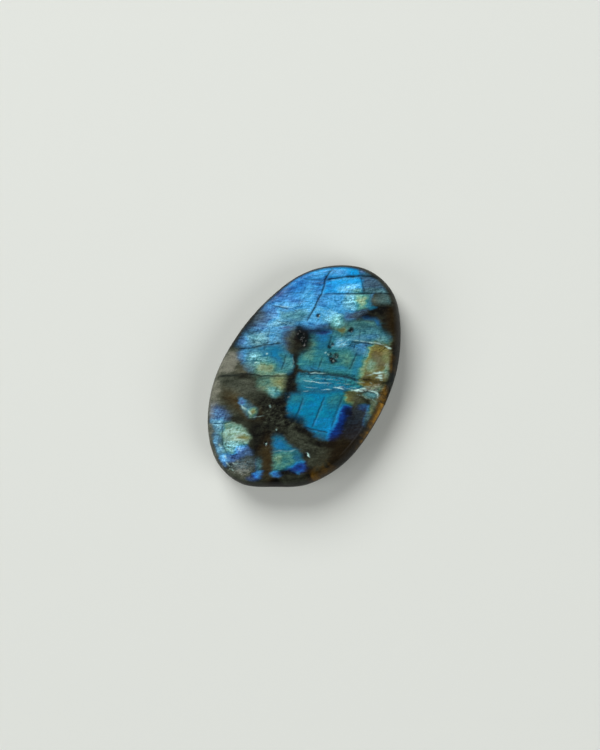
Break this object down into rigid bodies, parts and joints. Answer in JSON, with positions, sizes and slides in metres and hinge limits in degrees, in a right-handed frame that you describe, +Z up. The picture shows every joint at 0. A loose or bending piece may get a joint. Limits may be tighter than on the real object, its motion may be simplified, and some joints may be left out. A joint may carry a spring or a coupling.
{
  "type": "polished oval labradorite palm stone",
  "caption": "Hand-ground oval of polished labradorite with a blue-green flash, a chipped cleavage ledge in its low-domed face and a flat back to rest on.",
  "frame": {"origin": "middle of the stone's outline, on the plane of its flat back", "axes": "+X across the stone towards the edge with the chipped ledge, +Y along its length towards the blue end, +Z up out of the polished face"},
  "size_m": [0.0232, 0.035, 0.006],
  "materials": {
    "labradorite": "polished grey-brown feldspar with blue, cyan, green and gold flash"
  },
  "bodies": {
    "root": {"labradorite_stone": "labradorite"}
  },
  "joints": []
}
